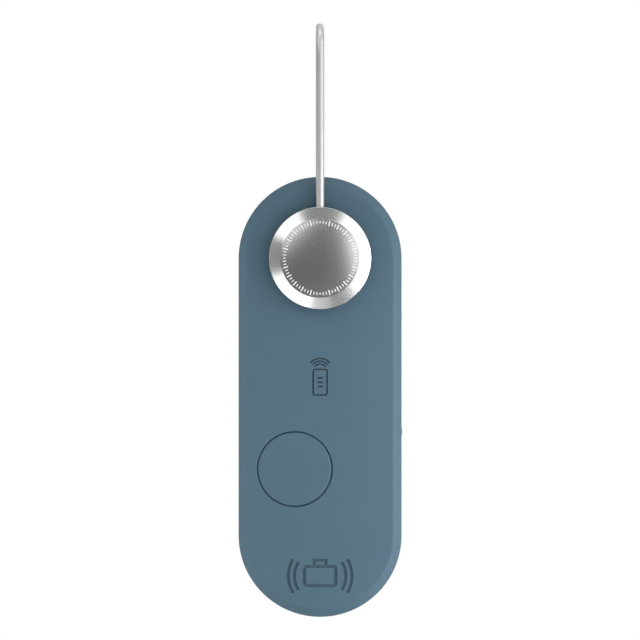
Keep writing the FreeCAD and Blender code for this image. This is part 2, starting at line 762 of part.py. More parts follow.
def eye_path(sketch):
    """Centre line of one leg: straight down, a bend out to the side, then round the barrel."""
    top = value("pivot_drop + wire_diameter / 2") - value(LEG_LEVEL)
    ring, bend = value("eye_radius"), value("eye_bend")
    bend_height = math.sqrt(ring ** 2 + 2 * ring * bend)
    meeting = math.degrees(math.atan2(bend_height, bend))
    leg = line(sketch, (0, top), (0, bend_height))
    shoulder = arc(sketch, (bend, bend_height), bend, 180, 180 + meeting)
    eye = arc(sketch, (0, 0), ring, value("eye_end_angle") - 360, meeting)
    sketch.addConstraint(Sketcher.Constraint("Tangent", leg, 2, shoulder, 1))
    sketch.addConstraint(Sketcher.Constraint("Tangent", shoulder, 2, eye, 2))
    sketch.addConstraint(Sketcher.Constraint("Vertical", leg))
    sketch.addConstraint(Sketcher.Constraint("Coincident", eye, 3, -1, 1))
    fix_point(sketch, leg, 1, "0", f"pivot_drop + wire_diameter / 2 - ({LEG_LEVEL})")
    fix(sketch, "Radius", (shoulder,), "eye_bend")
    fix(sketch, "Radius", (eye,), "eye_radius")
    fix(sketch, "DistanceX", (-1, 1, eye, 1), "eye_radius * cos(eye_end_angle)")


def loop_wire():
    """One bent wire: an eye round the barrel in front, up, over the top bend and down to a rear eye."""
    made = new_body("loop_wire")
    path = new_sketch(made, "loop_wire_path", LEG_LEVEL, [eye_path])
    bend_height = f"pivot_drop + wire_diameter / 2 - ({LEG_LEVEL})"
    section = circle("0", f"-({LEG_LEVEL})", "wire_diameter / 2")
    profile = new_sketch(made, "loop_wire_section", bend_height, [section], "XY_Plane")
    leg = add_feature(made, "AdditivePipe", "front_leg")
    leg.Profile = profile
    leg.Spine = (path, ["Edge1", "Edge2", "Edge3"])
    doc.recompute()
    mirrored = add_feature(made, "Mirrored", "rear_leg")
    mirrored.Originals = [leg]
    mirrored.MirrorPlane = next((f, [""]) for f in made.Origin.OriginFeatures if f.Role == "XZ_Plane")
    made.Tip = mirrored
    doc.recompute()
    bend_section = new_sketch(made, "loop_wire_bend_section", bend_height, [section], "XY_Plane")
    bend = add_feature(made, "Revolution", "top_bend")
    bend.Profile = bend_section
    bend.ReferenceAxis = (bend_section, ["H_Axis"])
    bend.Angle = 180.0
    bend.Reversed = True
    doc.recompute()


# ---------------------------------------------------------------- push button

def push_button():
    cap = new_body("button_cap")
    pad(cap, "disc", FLANGE_FRONT, FACE, circle("button_x", "button_z", "button_radius"))
    pad(cap, "flange", FLANGE_BACK, FLANGE_FRONT, circle("button_x", "button_z", "button_flange"))
    round_edges(cap, "rim", rim_edges(cap, FACE), "button_edge")

    membrane = new_body("button_membrane")
    pad(membrane, "sheet", MEMBRANE_BACK, MEMBRANE_FRONT, circle("button_x", "button_z", "membrane_radius"))
    pad(membrane, "rim", MEMBRANE_FRONT, FACE_INSIDE,
        circle("button_x", "button_z", "membrane_radius"),
        circle("button_x", "button_z", "membrane_radius - membrane_rim"))
    pad(membrane, "nub", NUB_BACK, MEMBRANE_BACK, circle("button_x", "button_z", "membrane_nub"))

    switch = new_body("switch_body")
    pad(switch, "case", BOARD_FRONT, f"{BOARD_FRONT} + switch_height",
        centred_box("button_x", "button_z", "switch_size", "switch_size"))
    cut(switch, "well", f"{BOARD_FRONT} + switch_floor", f"{BOARD_FRONT} + switch_height",
        circle("button_x", "button_z", "plunger_radius + plunger_gap"))
    plate("switch_plunger", f"{PLUNGER_FRONT} - plunger_length", PLUNGER_FRONT,
          circle("button_x", "button_z", "plunger_radius"))


# ---------------------------------------------------------------- charging port

def port_cover():
    """The soft cover over the port: a lid with a plug behind it, hinged at its lower end."""
    made = new_body("port_cover")
    half = "(port_half_width - cover_gap)"
    top = "port_top - cover_gap"
    lid = rounded_box("-port_level", f"({top} + hinge_z) / 2", f"2 * {half}", f"{top} - hinge_z",
                      "cover_corner")
    pad(made, "lid", "cover_inner", "body_width / 2", lid, plane="YZ_Plane")
    square_foot = centred_box("-port_level", "hinge_z + 1", f"2 * {half}", "2")
    pad(made, "foot", "cover_inner", "body_width / 2", square_foot, plane="YZ_Plane")
    pad(made, "knuckle", f"port_level - {half}", f"port_level + {half}",
        circle("hinge_x", "hinge_z", "body_width / 2 - hinge_x"))
    pad(made, "plug", "cover_inner - plug_depth", "cover_inner",
        capsule("-port_level", "port_z", "plug_height", "plug_width"), plane="YZ_Plane")
    pad(made, "nub", "body_width / 2", "body_width / 2 + nub_rise",
        centred_box("-port_level", "nub_z", "nub_width", "nub_height"), plane="YZ_Plane")
    cut(made, "pin_hole", f"port_level - {half}", f"port_level + {half}",
        circle("hinge_x", "hinge_z", "hinge_pin_radius + hinge_pin_gap"))
    reach = "port_half_width + hinge_pin_grip - part_gap"
    plate("port_hinge_pin", f"port_level - ({reach})", f"port_level + ({reach})",
          circle("hinge_x", "hinge_z", "hinge_pin_radius"))


def usb_receptacle():
    shell = new_body("usb_receptacle")
    start = "port_floor - usb_length"
    pad(shell, "shell", start, "port_floor",
        capsule("-port_level", "port_z", "usb_height", "usb_width"), plane="YZ_Plane")
    cut(shell, "socket", f"{start} + usb_wall", "port_floor",
        capsule("-port_level", "port_z", "usb_height - 2 * usb_wall", "usb_width - 2 * usb_wall"),
        plane="YZ_Plane")
    plate("usb_tongue", f"{start} + usb_wall", "port_floor - tongue_recess",
          centred_box("-port_level", "port_z", "tongue_thickness", "tongue_height"), plane="YZ_Plane")


# ---------------------------------------------------------------- electronics

def main_board():
    made = new_body("main_board")
    pad(made, "upper", BOARD_BACK, BOARD_FRONT,
        box("-board_radius", "board_radius", "-arc_spacing", "board_top"))
    pad(made, "lower", BOARD_BACK, BOARD_FRONT, circle("0", "-arc_spacing", "board_radius"))
    lower_screws = [place for place in COVER_SCREWS if "lower" in place[0]]
    cut(made, "boss_holes", BOARD_BACK, BOARD_FRONT, *circles(lower_screws, "boss_radius + board_gap"))
    cut(made, "port_notch", BOARD_BACK, BOARD_FRONT,
        box("port_floor - usb_length - board_gap", "board_radius + 1",
            "port_z - usb_height / 2 - board_gap", "port_z + usb_height / 2 + board_gap"))
    cut(made, "screw_holes", BOARD_BACK, BOARD_FRONT,
        *circles(BOARD_SCREWS, "board_screw_radius + screw_clearance"))
    screws = new_body("board_screws")
    head = f"{BOARD_BACK} - board_screw_head_height"
    pad(screws, "heads", head, BOARD_BACK, *circles(BOARD_SCREWS, "board_screw_head_radius"))
    pad(screws, "shanks", BOARD_BACK, f"{BOARD_FRONT} + board_screw_length",
        *circles(BOARD_SCREWS, "board_screw_radius"))
    cut(screws, "sockets", head, f"{head} + board_socket_depth",
        *[hexagon(x, z, "board_socket_radius") for x, z in BOARD_SCREWS])


# label: x, z, width, height and thickness of a chip on the board's front
CHIPS = {
    "radio_chip": (-4, -70, 5, 5, 0.75),
    "chip_antenna": (0, -82.4, 5.2, 1.6, 1.0),
    "accelerometer_chip": (9.5, -71.5, 2, 2, 0.9),
    "charger_chip": (7.5, -61.5, 3, 3, 0.8),
    "battery_connector": (9.2, -45.5, 5, 3.2, 1.3),
}

# x, z of the small resistors and capacitors beside the chips
SMALL_COMPONENTS = [(3.9, -66.5 - 1.2 * row) for row in range(5)]
SMALL_COMPONENTS += [(6.3, -70.4 - 1.2 * row) for row in range(4)]
SMALL_COMPONENTS += [(10.6, -60.6), (10.6, -62), (4.6, -60.6), (4.6, -62), (-12.2, -72.5), (-12.2, -74)]


def chips():
    for label, (x, z, width, height, thickness) in CHIPS.items():
        plate(label, BOARD_FRONT, f"{BOARD_FRONT} + {thickness}", centred_box(x, z, width, height))
    plate("small_components", BOARD_FRONT, f"{BOARD_FRONT} + small_component_height",
          *[centred_box(x, z, 1.0, 0.5) for x, z in SMALL_COMPONENTS])
    x, z, *_ = CHIPS["radio_chip"]
    shield = new_body("radio_shield")
    lid = f"{BOARD_FRONT} + shield_rise"
    pad(shield, "can", BOARD_FRONT, lid, rounded_box(x, z, "shield_width", "shield_height", "shield_corner"))
    cut(shield, "inside", BOARD_FRONT, f"{lid} - shield_wall",
        rounded_box(x, z, "shield_width - 2 * shield_wall", "shield_height - 2 * shield_wall",
                    "shield_corner - shield_wall"))


def battery():
    height = "battery_top - battery_bottom"
    middle = "(battery_top + battery_bottom) / 2"
    cell_front = f"{BATTERY_BACK} + battery_thickness"
    plate("battery_cell", BATTERY_BACK, cell_front,
          rounded_box("0", middle, "battery_width", height, "battery_corner"))
    plate("battery_pad", BACK_INSIDE, BATTERY_BACK,
          rounded_box("0", middle, "battery_width - 2 * battery_pad_inset",
                      f"{height} - 2 * battery_pad_inset", "battery_corner"))
    x, z, _, connector_height, connector_thickness = CHIPS["battery_connector"]
    lead_level = f"{BOARD_FRONT} + {connector_thickness / 2}"
    for label, side in (("battery_lead_positive", -1), ("battery_lead_negative", 1)):
        plate(label, f"{z} + {connector_height / 2}", "battery_bottom",
              circle(f"{x} + {side} * lead_spread", f"-({lead_level})", "lead_radius"), plane="XY_Plane")


def antenna():
    """The tap-to-read antenna: a printed sheet under the face, its coil, a ferrite and two contacts."""
    sheet_bottom = "antenna_z - antenna_height / 2"
    flex = new_body("antenna_sheet")
    pad(flex, "sheet", ANTENNA_BACK, FACE_INSIDE,
        rounded_box("0", "antenna_z", "antenna_width", "antenna_height", "antenna_corner"))
    pad(flex, "tail", ANTENNA_BACK, FACE_INSIDE,
        box("tail_x - tail_width / 2", "tail_x + tail_width / 2", "tail_end",
            f"{sheet_bottom} + antenna_corner"))
    turns = []
    for edge in range(8):
        inset = f"antenna_corner + 2 * {edge} * antenna_line"
        turns.append(rounded_box("0", "antenna_z", f"antenna_width - ({inset})",
                                 f"antenna_height - ({inset})", "antenna_corner - antenna_line / 2"))
    plate("antenna_coil", COIL_BACK, ANTENNA_BACK, *turns)
    plate("ferrite_sheet", FERRITE_BACK, COIL_BACK,
          rounded_box("0", "antenna_z", "antenna_width", "antenna_height", "antenna_corner"))
    contacts = [(f"tail_x + {side} * contact_spread", "contact_z") for side in (-1, 1)]
    plate("antenna_contacts", BOARD_FRONT, ANTENNA_BACK, *circles(contacts, "contact_radius"))


def sounder():
    """A piezo disc on a ring over the sound holes, with a vent membrane and two spring contacts."""
    plate("sounder_ring", BACK_INSIDE, PLATE_BACK, circle("0", "sounder_z", "sounder_radius"),
          circle("0", "sounder_z", "sounder_radius - sounder_ring"))
    plate("sounder_plate", PLATE_BACK, PLATE_FRONT, circle("0", "sounder_z", "sounder_radius"))
    plate("sounder_ceramic", PLATE_FRONT, f"{PLATE_FRONT} + sounder_plate",
          circle("0", "sounder_z", "ceramic_radius"))
    plate("sound_vent", BACK_INSIDE, f"{BACK_INSIDE} + vent_thickness",
          circle("0", "sounder_z", "vent_radius"))
    contacts = new_body("sounder_contacts")
    pad(contacts, "on_ceramic", f"{PLATE_FRONT} + sounder_plate", BOARD_BACK,
        circle("sounder_contact_x", "sounder_z", "contact_radius"))
    pad(contacts, "on_plate", PLATE_FRONT, BOARD_BACK,
        circle("(ceramic_radius + sounder_radius) / 2", "sounder_z", "contact_radius"))


# ---------------------------------------------------------------- build, check and write

def check_document():
    doc.recompute()
    faults = [f"{made.Label}: {state}" for made in doc.Objects for state in made.State
              if state in ("Invalid", "Error")]
    faults += [f"{sketch.Label}: not fully constrained" for sketch in doc.Objects
               if sketch.TypeId == "Sketcher::SketchObject" and not sketch.FullyConstrained]
    for part in parts:
        if part.Shape.isNull() or not part.Shape.isValid():
            faults.append(f"{part.Label}: no valid shape")
    if faults:
        raise ValueError("; ".join(faults))


def write_parts():
    os.makedirs("parts", exist_ok=True)
    for part in parts:
        part.Shape.exportStep(f"parts/{part.Label}.step")
        print(f"{part.Label}: {len(part.Shape.Solids)} solid(s), {part.Shape.Volume:.1f} mm3")


front_cover()
rear_cover()
seals()
cover_fasteners()
barrel_sleeve()
thrust_washers()
front_cap()
rear_screw()
loop_wire()
push_button()
port_cover()
usb_receptacle()
main_board()
chips()
battery()
antenna()
sounder()
check_document()
write_parts()
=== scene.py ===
import json
import math

import bmesh
import bpy
from mathutils import Matrix, Vector


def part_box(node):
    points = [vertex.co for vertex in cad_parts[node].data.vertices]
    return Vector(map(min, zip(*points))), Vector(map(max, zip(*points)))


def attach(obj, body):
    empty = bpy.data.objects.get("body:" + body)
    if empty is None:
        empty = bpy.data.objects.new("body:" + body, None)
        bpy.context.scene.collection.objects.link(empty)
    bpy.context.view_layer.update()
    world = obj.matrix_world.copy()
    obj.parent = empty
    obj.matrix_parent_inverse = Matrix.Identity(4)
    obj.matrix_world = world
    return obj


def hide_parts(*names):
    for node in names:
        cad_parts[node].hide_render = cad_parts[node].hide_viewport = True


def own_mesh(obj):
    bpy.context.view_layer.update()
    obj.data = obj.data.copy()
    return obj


# The finder tag seen square on, hanging by its wire loop against white.
# Everything is in metres, in the CAD frame: the face looks along -Y and +Z is up.

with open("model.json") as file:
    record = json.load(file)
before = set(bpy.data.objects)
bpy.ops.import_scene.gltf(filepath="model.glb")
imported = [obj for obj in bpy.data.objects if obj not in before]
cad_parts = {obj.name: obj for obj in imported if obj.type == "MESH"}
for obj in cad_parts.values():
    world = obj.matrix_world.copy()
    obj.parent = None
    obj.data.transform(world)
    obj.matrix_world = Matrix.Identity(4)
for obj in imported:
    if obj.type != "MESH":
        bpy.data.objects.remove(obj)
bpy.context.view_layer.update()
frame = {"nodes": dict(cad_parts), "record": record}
nodes = frame["nodes"]

MM = 0.001

# Places and sizes read from the frame. The lock's axis runs along Y, through the cap's middle.
cap_low, cap_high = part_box("front_cap")
screw_low, screw_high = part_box("rear_screw")
cover_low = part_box("front_cover")[0]
washer_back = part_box("rear_spring_washer")[1].y

AXIS_X = (cap_low.x + cap_high.x) / 2
AXIS_Z = (cap_low.z + cap_high.z) / 2
CAP_RADIUS = (cap_high.x - cap_low.x) / 2
FACE_Y = cover_low.y
TAG_FOOT = cover_low.z

# The cap's domed disc inside its bevel, and the coin slot across the lock screw's head.
DISC_RADIUS = CAP_RADIUS - 2.78 * MM
DOME_RISE = 0.7 * MM
SLOT_WIDTH = 1.7 * MM
SLOT_DEPTH = 1.0 * MM


# ---------------------------------------------------------------- materials

class Shading:
    """A Principled material with short calls for the nodes that drive it."""

    def __init__(self, name, colour, roughness, metallic=0.0):
        self.material = bpy.data.materials.new(name)
        self.material.use_nodes = True
        self.tree = self.material.node_tree
        self.surface = self.tree.nodes["Principled BSDF"]
        self.surface.inputs["Base Color"].default_value = (*linear(colour), 1)
        self.surface.inputs["Roughness"].default_value = roughness
        self.surface.inputs["Metallic"].default_value = metallic
        self.roughness = roughness
        self.place = self.tree.nodes.new("ShaderNodeTexCoord").outputs["Object"]
        self.shade = self.relief = None

    def link(self, start, end):
        self.tree.links.new(start, end)

    def node(self, kind, inputs=(), **settings):
        """A new node; an input is given either a number or another node's socket."""
        made = self.tree.nodes.new(kind)
        for key, setting in settings.items():
            setattr(made, key, setting)
        for key, given in dict(inputs).items():
            if isinstance(given, bpy.types.NodeSocket):
                self.link(given, made.inputs[key])
            else:
                made.inputs[key].default_value = given
        return made

    def math(self, operation, first, second=0.0):
        return self.node("ShaderNodeMath", {0: first, 1: second}, operation=operation).outputs[0]

    def both(self, first, second):
        """One where both masks are one."""
        return self.math("MULTIPLY", first, second)

    def along(self, axis):
        return self.node("ShaderNodeSeparateXYZ", {0: self.place}).outputs[axis]

    def height(self):
        """Height over the lock's axis."""
        return self.math("SUBTRACT", self.along("Z"), AXIS_Z)

    def reach(self):
        """Distance from the lock's axis."""
        across = self.math("SUBTRACT", self.along("X"), AXIS_X)
        squares = [self.math("POWER", side, 2.0) for side in (across, self.height())]
        return self.math("SQRT", self.math("ADD", *squares))

    def stretched(self, factors):
        return self.node("ShaderNodeMapping", {"Vector": self.place, "Scale": factors}).outputs[0]

    def noise(self, size, detail=2.0, place=None):
        """Noise whose features are about size metres across."""
        return self.node("ShaderNodeTexNoise", {
            "Vector": place or self.place, "Scale": 1 / size, "Detail": detail}).outputs["Fac"]

    def turned_rings(self, per_metre):
        """Uneven rings round the lock's axis, as a lathe leaves them."""
        return self.node("ShaderNodeTexNoise", {
            "Scale": 1.0, "Detail": 4.0, "W": self.math("MULTIPLY", self.reach(), per_metre)},
            noise_dimensions="1D").outputs["Fac"]

    def between(self, factor, low, high, start=0.0, end=1.0):
        return self.node("ShaderNodeMapRange", {
            "Value": factor, "From Min": start, "From Max": end, "To Min": low, "To Max": high}).outputs[0]

    def vary_roughness(self, factor, spread):
        self.link(self.between(factor, self.roughness - spread, self.roughness + spread),
                  self.surface.inputs["Roughness"])

    def vary_colour(self, factor, low, high):
        """Base colour from one colour to another as factor goes from 0 to 1."""
        mix = self.node("ShaderNodeMix", data_type="RGBA")
        self.link(factor, mix.inputs["Factor"])
        low_socket, high_socket, self.shade = mix.inputs[6], mix.inputs[7], mix.outputs[2]
        for socket, colour in ((low_socket, low), (high_socket, high)):
            if isinstance(colour, bpy.types.NodeSocket):
                self.link(colour, socket)
            else:
                socket.default_value = (*linear(colour), 1)
        self.link(self.shade, self.surface.inputs["Base Color"])

    def bump(self, factor, height, strength):
        """Adds a relief whose full range is height metres."""
        inputs = {"Height": factor, "Distance": height, "Strength": strength}
        if self.relief is not None:
            inputs["Normal"] = self.relief
        self.relief = self.node("ShaderNodeBump", inputs).outputs["Normal"]
        self.link(self.relief, self.surface.inputs["Normal"])


def linear(colour):
    """sRGB 0 to 255 to linear light."""
    def one(channel):
        part = channel / 255
        return part / 12.92 if part <= 0.04045 else ((part + 0.055) / 1.055) ** 2.4
    return tuple(one(channel) for channel in colour)


def darker(colour, factor):
    return tuple(channel * factor for channel in colour)


SLATE = (69, 95, 110)


def soft_touch(name, colour=SLATE):
    """Moulded plastic with a fine spark-eroded grain and a faint cloudiness."""
    grain_size, cloud_size, gloss_size = 0.16 * MM, 9 * MM, 3 * MM
    made = Shading(name, colour, 0.56)
    made.surface.inputs["Specular IOR Level"].default_value = 0.32
    made.vary_colour(made.noise(cloud_size), darker(colour, 0.975), darker(colour, 1.02))
    made.vary_roughness(made.noise(gloss_size, 4.0), 0.05)
    made.bump(made.noise(grain_size, 3.0), 0.012 * MM, 0.7)
    return made


def face_cover():
    """Soft-touch plastic, with painted shade darkening the floors of the sunk marks, the lower icon's less
    so.
    """
    sunk_from, sunk_to = 0.05 * MM, 0.6 * MM
    lower_icon_under, lower_icon_shade_strength = -60 * MM, 0.35
    made = soft_touch("soft_touch_face_painted_shade")
    normal = made.tree.nodes.new("ShaderNodeTexCoord").outputs["Normal"]
    facing = made.math("LESS_THAN", made.node("ShaderNodeSeparateXYZ", {0: normal}).outputs["Y"], -0.99)
    sunk = made.math("GREATER_THAN", made.along("Y"), FACE_Y + sunk_from)
    shallow = made.math("LESS_THAN", made.along("Y"), FACE_Y + sunk_to)
    floor = made.both(made.both(facing, sunk), shallow)
    upper = made.math("GREATER_THAN", made.height(), lower_icon_under)
    strength = made.between(upper, lower_icon_shade_strength, 1.0)
    # Painted shade: the floors of the sunk marks are darkened as if shadowed in their recesses, the lower
    # icon's less.
    made.vary_colour(made.both(floor, strength), made.shade, darker(SLATE, 0.82))
    return made


def steel(name, colour, roughness, relief, stretch=(1, 1, 1)):
    """Steel with fine working marks, drawn out along one direction by stretch."""
    made = Shading(name, colour, roughness, 1.0)
    marks = made.noise(0.12 * MM, 4.0, made.stretched(stretch))
    made.vary_roughness(marks, roughness * 0.25)
    made.bump(marks, relief, 0.5)
    return made


def cap_steel():
    """The turned cap: a bead-satin disc inside a polished bevel."""
    disc_margin, front_depth = 0.08 * MM, 1.2 * MM
    satin_range, polished_range = (0.195, 0.23), (0.2, 0.27)
    made = Shading("cap_steel", (226, 226, 226), 0.2, 1.0)
    in_disc = made.math("LESS_THAN", made.reach(), DISC_RADIUS + disc_margin)
    in_front = made.math("LESS_THAN", made.along("Y"), cap_low.y + front_depth)
    on_disc = made.both(in_disc, in_front)
    ring = made.turned_rings(9000.0)
    satin = made.between(made.noise(0.1 * MM, 3.0), *satin_range)
    polished = made.between(ring, *polished_range)
    made.link(made.node("ShaderNodeMix", {0: on_disc, 2: polished, 3: satin}).outputs[0],
              made.surface.inputs["Roughness"])
    made.bump(made.both(ring, made.math("SUBTRACT", 1.0, on_disc)), 0.0006 * MM, 0.5)
    return made


def turned_steel(name, colour):
    """Satin steel with the rings a lathe leaves round the lock's axis, with painted shade in the coin
    slot.
    """
    side_margin, back_margin = 0.02 * MM, 0.15 * MM
    made = Shading(name, colour, 0.28, 1.0)
    ring = made.turned_rings(7000.0)
    slot_shade_mask = made.both(
        made.math("LESS_THAN", made.math("ABSOLUTE", made.height()), SLOT_WIDTH / 2 + side_margin),
        made.math("LESS_THAN", made.along("Y"), screw_high.y - back_margin))
    # Painted shade: the coin slot is darkened as if it lay in shadow.
    made.vary_colour(slot_shade_mask, colour, darker(colour, 0.62))
    made.vary_roughness(ring, 0.07)
    made.bump(ring, 0.002 * MM, 0.6)
    return made


def plain(name, colour, roughness, metallic=0.0, size=0.3 * MM, relief=0.004 * MM):
    """Any small moulded, plated or sintered part: mottled colour, uneven gloss and a little relief."""
    gloss_size, gloss_spread = 3 * size, 0.15 * roughness
    made = Shading(name, colour, roughness, metallic)
    mottle = made.noise(size, 3.0)
    made.vary_colour(mottle, darker(colour, 0.94), darker(colour, 1.04))
    made.vary_roughness(made.noise(gloss_size), gloss_spread)
    made.bump(mottle, relief, 0.5)
    return made


def board_mask():
    """Green solder mask with the faint shadow of copper tracks under it."""
    tracks_per_metre = 420.0
    made = Shading("board_mask", (22, 84, 58), 0.32)
    tracks = made.node("ShaderNodeTexVoronoi", {"Vector": made.place, "Scale": tracks_per_metre},
                       distance="CHEBYCHEV").outputs["Distance"]
    made.vary_colour(made.between(tracks, 0, 1, 0.25, 0.3), (26, 96, 66), (14, 66, 46))
    made.bump(tracks, 0.01 * MM, 0.3)
    return made


METAL = 1.0
FINE = 0.001 * MM
ALONG_X, ALONG_Y, ALONG_Z = (0.1, 1, 1), (1, 0.1, 1), (1, 1, 0.05)

# One material for each slot in the record.
MATERIALS = {
    "soft_touch_button": soft_touch("soft_touch_button"),
    "port_rubber": soft_touch("port_rubber", darker(SLATE, 0.98)),
    "polished_wire": steel("polished_wire", (206, 206, 206), 0.46, 0.3 * FINE, ALONG_Z),
    "satin_steel": steel("satin_steel", (186, 186, 188), 0.3, FINE, ALONG_Y),
    "spring_steel": steel("spring_steel", (160, 161, 165), 0.3, FINE),
    "nylon": plain("nylon", (52, 60, 66), 0.5),
    "silicone": plain("silicone", (38, 42, 46), 0.6),
    "black_screw": steel("black_screw", (52, 53, 56), 0.35, FINE),
    "brass_insert": plain("brass_insert", (206, 168, 96), 0.3, METAL),
    "board_green": board_mask(),
    "chip_black": plain("chip_black", (24, 24, 26), 0.55),
    "tin_shield": steel("tin_shield", (190, 192, 194), 0.33, FINE, ALONG_X),
    "antenna_ceramic": plain("antenna_ceramic", (222, 218, 206), 0.4),
    "component_ceramic": plain("component_ceramic", (150, 122, 92), 0.45),
    "port_steel": steel("port_steel", (200, 200, 202), 0.22, FINE, ALONG_X),
    "port_plastic": plain("port_plastic", (28, 28, 30), 0.5),
    "cell_pouch": plain("cell_pouch", (196, 198, 202), 0.36, METAL, size=2 * MM, relief=0.06 * MM),
    "foam_tape": plain("foam_tape", (34, 34, 36), 0.9, size=0.2 * MM, relief=0.03 * MM),
    "connector_white": plain("connector_white", (226, 222, 210), 0.45),
    "lead_red": plain("lead_red", (172, 26, 24), 0.5),
    "lead_black": plain("lead_black", (22, 22, 22), 0.5),
    "polyimide": plain("polyimide", (170, 98, 30), 0.3),
    "coil_copper": plain("coil_copper", (208, 124, 84), 0.35, METAL),
    "ferrite": plain("ferrite", (36, 36, 38), 0.6),
    "gold_contact": plain("gold_contact", (224, 180, 88), 0.25, METAL),
    "piezo_brass": plain("piezo_brass", (200, 164, 86), 0.3, METAL, size=1 * MM),
    "piezo_ceramic": plain("piezo_ceramic", (206, 206, 200), 0.35, 0.6),
    "vent_film": plain("vent_film", (232, 232, 232), 0.85, size=0.1 * MM, relief=0.01 * MM),
    "brushed_cap": cap_steel(),
    "soft_touch_shell": soft_touch("soft_touch_shell"),
}


def dress_nodes():
    slots = {part["node"]: part["material_slot"] for part in frame["record"]["subparts"]}
    for name, node in nodes.items():
        node.data.materials.clear()
        node.data.materials.append(MATERIALS[slots[name]].material)
    nodes["front_cover"].data.materials[0] = face_cover().material


# ---------------------------------------------------------------- pieces

def mesh_object(name, build, material):
    """A new object whose mesh build fills in."""
    mesh = bpy.data.meshes.new(name)
    shape = bmesh.new()
    build(shape)
    bmesh.ops.recalc_face_normals(shape, faces=shape.faces)
    shape.to_mesh(mesh)
    shape.free()
    made = bpy.data.objects.new(name, mesh)
    bpy.context.scene.collection.objects.link(made)
    mesh.materials.append(material)
    return made


def bridge(shape, first, second):
    """Quads between two equal rings."""
    for n in range(len(first)):
        after = (n + 1) % len(first)
        shape.faces.new((first[n], first[after], second[after], second[n]))


def dome_y(radius):
    """Height of the cap's domed disc at a radius, as y in the frame."""
    curve = (DISC_RADIUS ** 2 + DOME_RISE ** 2) / (2 * DOME_RISE)
    return cap_low.y + curve - math.sqrt(curve ** 2 - radius ** 2)


def cap_marks():
    """A ring of etched scale ticks with four dots, just proud of the satin disc."""
    inner, outer = 8.1 * MM, 9.35 * MM
    root, rise = -0.02 * MM, 0.012 * MM
    ticks, ticks_per_dot, ticks_per_long = 72, 18, 3
    long_width, short_width, short_cut = 0.28 * MM, 0.22 * MM, 0.25 * MM
    dot_radius, dot_steps = 0.22 * MM, 16

    def raised(shape, outline):
        """A low prism on the dome over an outline of (radius, angle) places."""
        rings = [[shape.verts.new((AXIS_X + radius * math.sin(angle), dome_y(radius) - lift,
                                   AXIS_Z + radius * math.cos(angle)))
                  for radius, angle in outline] for lift in (root, rise)]
        shape.faces.new(rings[1])
        shape.faces.new(rings[0][::-1])
        bridge(shape, *rings)

    def tick(shape, angle, cut, width):
        low, high = inner + cut, outer - cut
        raised(shape, [(radius, angle + side * width / 2 / radius)
                       for radius, side in ((low, -1), (low, 1), (high, 1), (high, -1))])

    def dot(shape, angle):
        middle = (inner + outer) / 2
        turns = [2 * math.pi * n / dot_steps for n in range(dot_steps)]
        raised(shape, [(middle + dot_radius * math.cos(turn), angle + dot_radius * math.sin(turn) / middle)
                       for turn in turns])

    def build(shape):
        for n in range(ticks):
            angle = 2 * math.pi * n / ticks
            if n % ticks_per_dot == 0:
                dot(shape, angle)
            elif n % ticks_per_long == 0:
                tick(shape, angle, 0, long_width)
            else:
                tick(shape, angle, short_cut, short_width)

    etched = plain("etched_marks", (226, 226, 224), 0.7)
    made = mesh_object("cap_marks", build, etched.material)
    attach(made, "housing")


def lathe_ring(shape, y, radius, steps):
    """A ring of vertices about the lock's axis; radius is a number or a function of the turn."""
    ring = []
    for n in range(steps):
        turn = 2 * math.pi * n / steps
        reach = radius(turn) if callable(radius) else radius
        ring.append(shape.verts.new((AXIS_X + reach * math.cos(turn), y, AXIS_Z + reach * math.sin(turn))))
    return ring


def close_ring(shape, ring, y):
    """Closes a ring with a fan round a middle point."""
    middle = shape.verts.new((AXIS_X, y, AXIS_Z))
    for n in range(len(ring)):
        shape.faces.new((ring[n], ring[(n + 1) % len(ring)], middle))


def carve(made, cutter):
    """Cuts the cutter out of the object, leaves no modifier on it and removes the cutter."""
    modifier = made.modifiers.new("carve", "BOOLEAN")
    modifier.operation, modifier.solver, modifier.object = "DIFFERENCE", "EXACT", cutter
    bpy.context.view_layer.update()
    carved = bpy.data.meshes.new_from_object(made.evaluated_get(bpy.context.evaluated_depsgraph_get()))
    made.modifiers.remove(modifier)
    made.data = carved
    bpy.data.objects.remove(cutter)


